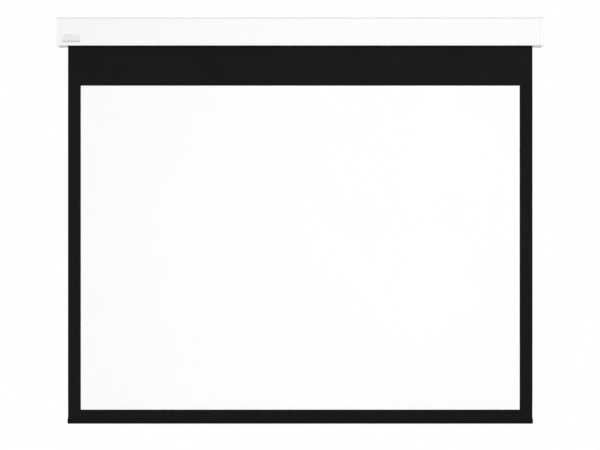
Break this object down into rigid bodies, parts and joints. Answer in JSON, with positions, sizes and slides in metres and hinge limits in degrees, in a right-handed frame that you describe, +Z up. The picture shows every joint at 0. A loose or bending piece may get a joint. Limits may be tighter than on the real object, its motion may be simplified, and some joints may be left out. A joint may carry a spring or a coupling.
{
  "type": "motorized projector screen",
  "caption": "Electric roll-down projector screen: slim white case for wall or ceiling, tubular motor in the roller, black-bordered white cloth and a weighted hem bar.",
  "frame": {"origin": "middle of the case's flat back, which lies against the wall", "axes": "+X along the case to the viewer's right, +Y into the wall, +Z up"},
  "size_m": [1.89, 0.1018, 1.5815],
  "materials": {
    "case_paint": "white powder coat on aluminium, satin",
    "cap_plastic": "white moulded ABS, fine matt",
    "badge_plastic": "pale grey, satin",
    "zinc_steel": "zinc-plated steel",
    "roller_steel": "galvanised steel tube",
    "motor_steel": "drawn steel tube, oiled",
    "grey_plastic": "grey glass-filled nylon",
    "black_plastic": "black moulded plastic",
    "brass": "turned brass",
    "capacitor_can": "drawn can",
    "white_nylon": "natural nylon",
    "rubber": "black rubber and PVC sheath",
    "black_cloth": "matt black PVC-coated cloth",
    "white_cloth": "matt white projection coating"
  },
  "bodies": {
    "case": {"case_shell": "case_paint", "bottom_cover": "case_paint", "left_end_cap": "cap_plastic", "right_end_cap": "cap_plastic", "name_badge": "badge_plastic", "motor_bracket_plate": "zinc_steel", "idler_bracket_plate": "zinc_steel", "end_screw_left_1": "zinc_steel", "end_screw_left_2": "zinc_steel", "end_screw_left_3": "zinc_steel", "end_screw_left_4": "zinc_steel", "end_screw_right_1": "zinc_steel", "end_screw_right_2": "zinc_steel", "end_screw_right_3": "zinc_steel", "end_screw_right_4": "zinc_steel", "cover_screw_left": "zinc_steel", "cover_screw_right": "zinc_steel", "motor_head": "black_plastic", "head_clip": "zinc_steel", "motor_casing": "motor_steel", "limit_switch_unit": "grey_plastic", "run_capacitor": "capacitor_can", "motor_can": "motor_steel", "gearbox_cartridge": "grey_plastic", "motor_lead": "rubber", "lead_clip": "white_nylon", "cable_bush": "rubber", "idler_axle": "zinc_steel", "axle_nut": "zinc_steel", "black_backing_sheet": "black_cloth", "white_viewing_surface": "white_cloth"},
    "roller": {"roller_tube": "roller_steel", "roller_keder": "white_nylon", "fabric_wraps": "black_cloth", "motor_crown": "grey_plastic", "drive_shaft": "roller_steel", "drive_wheel": "grey_plastic", "drive_clip": "zinc_steel", "idler_plug": "grey_plastic", "idler_bearing": "zinc_steel"},
    "bottom_bar": {"hem_pocket": "black_cloth", "bar_tube": "zinc_steel", "bar_plug_left": "black_plastic", "bar_plug_right": "black_plastic"},
    "limit_up": {"limit_screw_up": "brass"},
    "limit_down": {"limit_screw_down": "brass"},
    "bracket_left": {"wall_bracket_left": "zinc_steel", "clamp_screw_left": "zinc_steel", "slide_nut_left": "zinc_steel"},
    "bracket_right": {"wall_bracket_right": "zinc_steel", "clamp_screw_right": "zinc_steel", "slide_nut_right": "zinc_steel"}
  },
  "joints": [
    {"name": "screen_lift", "type": "slide", "parent": "case", "child": "bottom_bar", "axis": [0, 0, 1], "range_m": [0, 1.463], "deforming": ["black_backing_sheet", "white_viewing_surface"]},
    {"name": "roller_spin", "type": "hinge", "parent": "case", "child": "roller", "pos_m": [0, -0.05042, 0.005], "axis": [-1, 0, 0], "range_deg": [0, 3060]},
    {"name": "limit_up_turn", "type": "hinge", "parent": "case", "child": "limit_up", "pos_m": [-0.92415, -0.05643, -0.01], "axis": [0, 0, 1], "continuous": true},
    {"name": "limit_down_turn", "type": "hinge", "parent": "case", "child": "limit_down", "pos_m": [-0.92415, -0.04442, -0.01], "axis": [0, 0, 1], "continuous": true},
    {"name": "bracket_left_slide", "type": "slide", "parent": "case", "child": "bracket_left", "axis": [1, 0, 0], "range_m": [-0.09, 0.3]},
    {"name": "bracket_right_slide", "type": "slide", "parent": "case", "child": "bracket_right", "axis": [1, 0, 0], "range_m": [-0.3, 0.19]}
  ],
  "couplings": [
    {"joint": "roller_spin", "follows": "screen_lift", "rad_per_m": 36.265}
  ]
}
